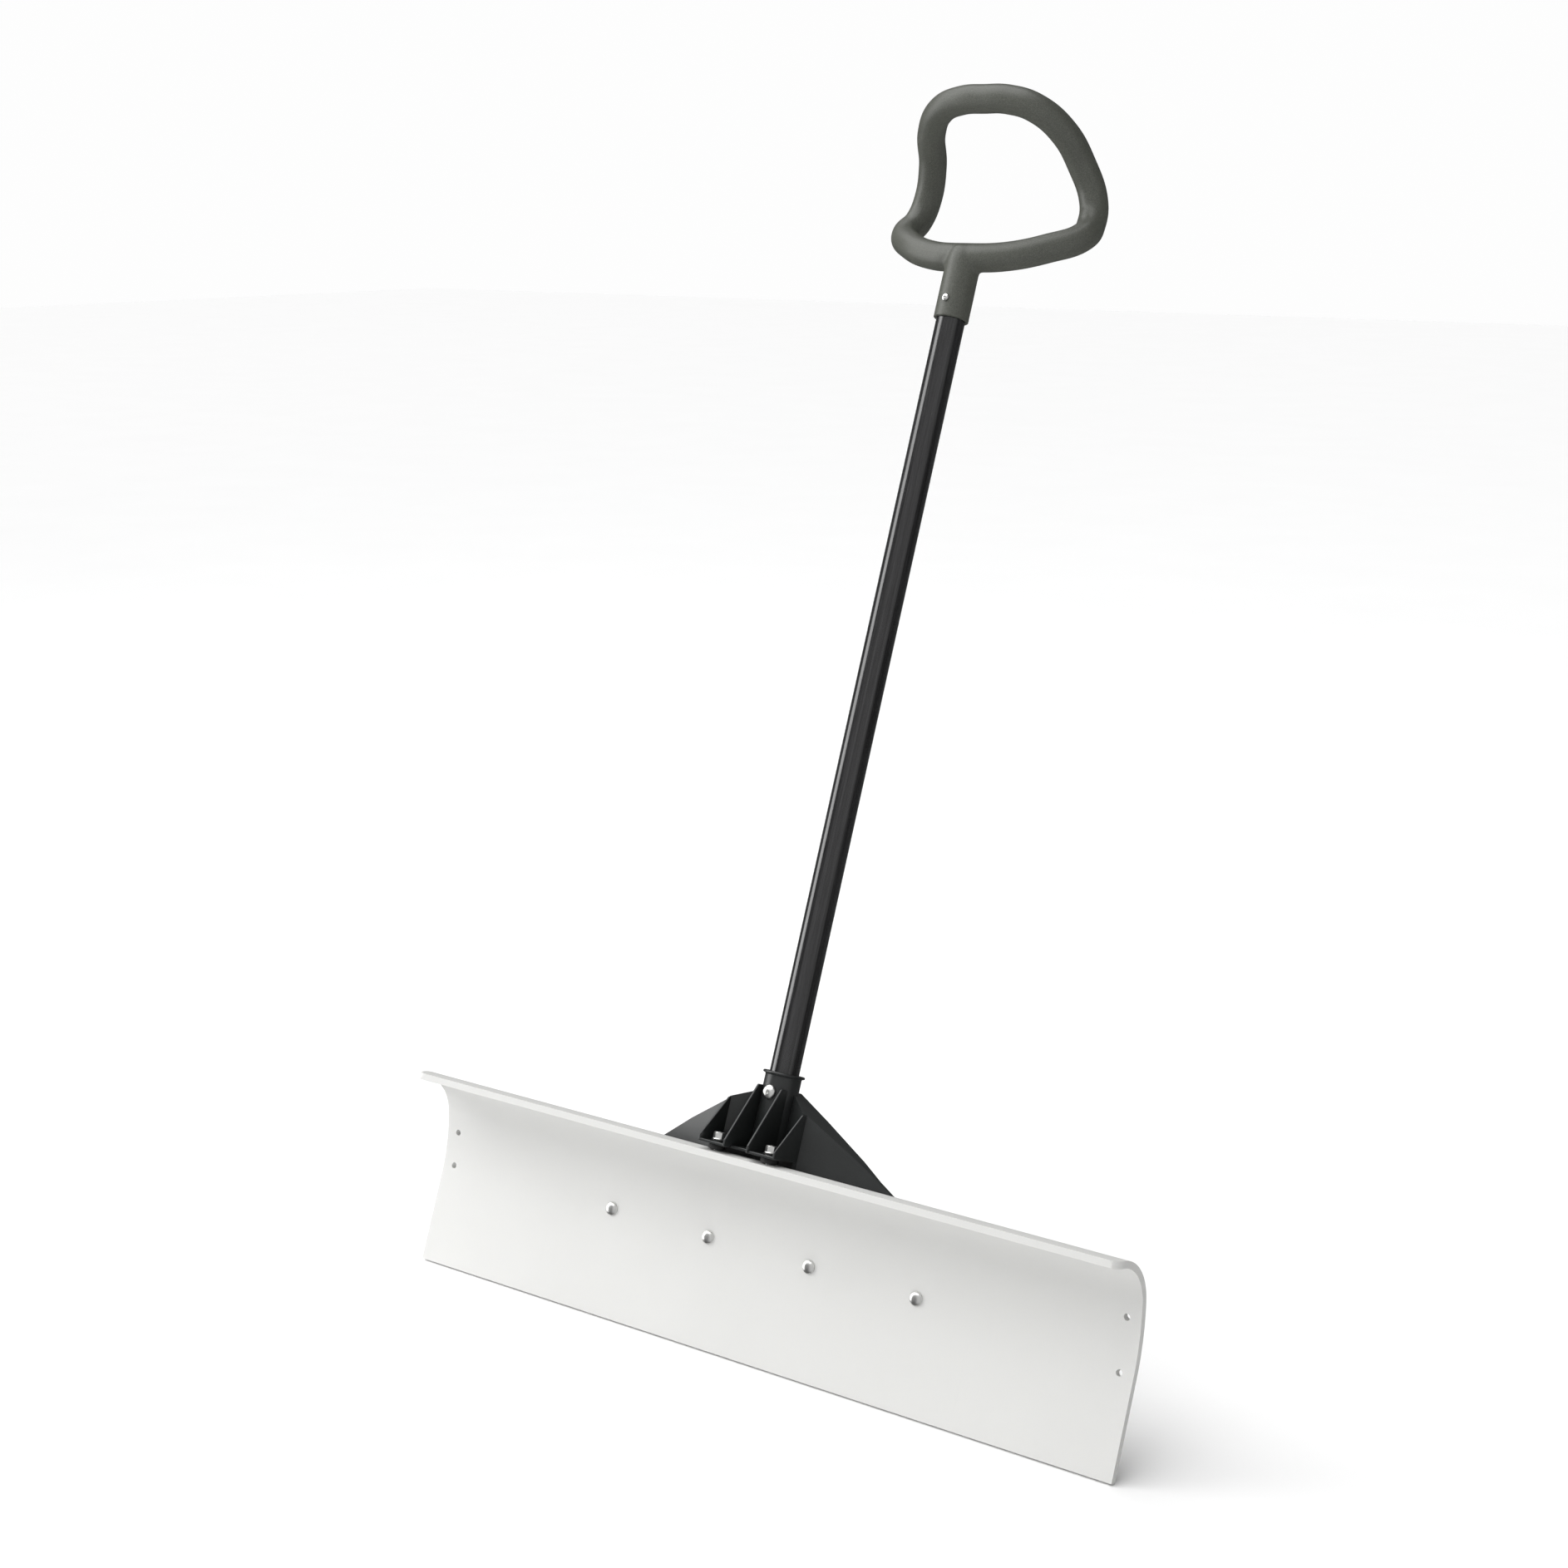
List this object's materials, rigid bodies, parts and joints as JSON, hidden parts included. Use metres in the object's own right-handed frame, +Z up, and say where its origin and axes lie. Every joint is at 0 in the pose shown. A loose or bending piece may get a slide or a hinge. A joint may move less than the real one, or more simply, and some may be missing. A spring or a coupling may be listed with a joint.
{
  "type": "snow shovel",
  "caption": "Wide snow pusher: a curled white plastic blade bolted to a ribbed black bracket, a long round shaft and a closed loop grip for two hands.",
  "frame": {"origin": "middle of the floor of the tool's bounding box; the blade's lower edge stands on that floor and the tool leans back as a person holds it", "axes": "+Z up, +X across the blade, -Y ahead of the blade; the shaft leans 21.37 degrees from +Z towards +Y"},
  "size_m": [0.9144, 0.5258, 1.3255],
  "materials": {
    "blade_sheet": "white high-density sheet, satin, cut edges",
    "bracket_moulding": "black glass-filled nylon, fine satin grain",
    "shaft_tube": "black glossy composite tube with faint lengthwise streaks",
    "grip_moulding": "grey moulded grip with a fine grain",
    "zinc_fasteners": "bright zinc plate",
    "black_spacers": "black, dull"
  },
  "bodies": {
    "root": {"blade": "blade_sheet", "bracket": "bracket_moulding", "shaft": "shaft_tube", "grip": "grip_moulding", "socket_bolt": "zinc_fasteners", "socket_washer": "zinc_fasteners", "socket_nut": "zinc_fasteners", "grip_screw": "zinc_fasteners", "blade_bolt_1": "zinc_fasteners", "blade_bolt_2": "zinc_fasteners", "blade_bolt_3": "zinc_fasteners", "blade_bolt_4": "zinc_fasteners", "blade_washer_1": "zinc_fasteners", "blade_washer_2": "zinc_fasteners", "blade_washer_3": "zinc_fasteners", "blade_washer_4": "zinc_fasteners", "blade_nut_1": "zinc_fasteners", "blade_nut_2": "zinc_fasteners", "blade_nut_3": "zinc_fasteners", "blade_nut_4": "zinc_fasteners", "lip_bolt_left": "zinc_fasteners", "lip_bolt_right": "zinc_fasteners", "lip_spacer_left": "black_spacers", "lip_spacer_right": "black_spacers", "lip_washer_left": "black_spacers", "lip_washer_right": "black_spacers", "lip_nut_left": "zinc_fasteners", "lip_nut_right": "zinc_fasteners"}
  },
  "joints": []
}
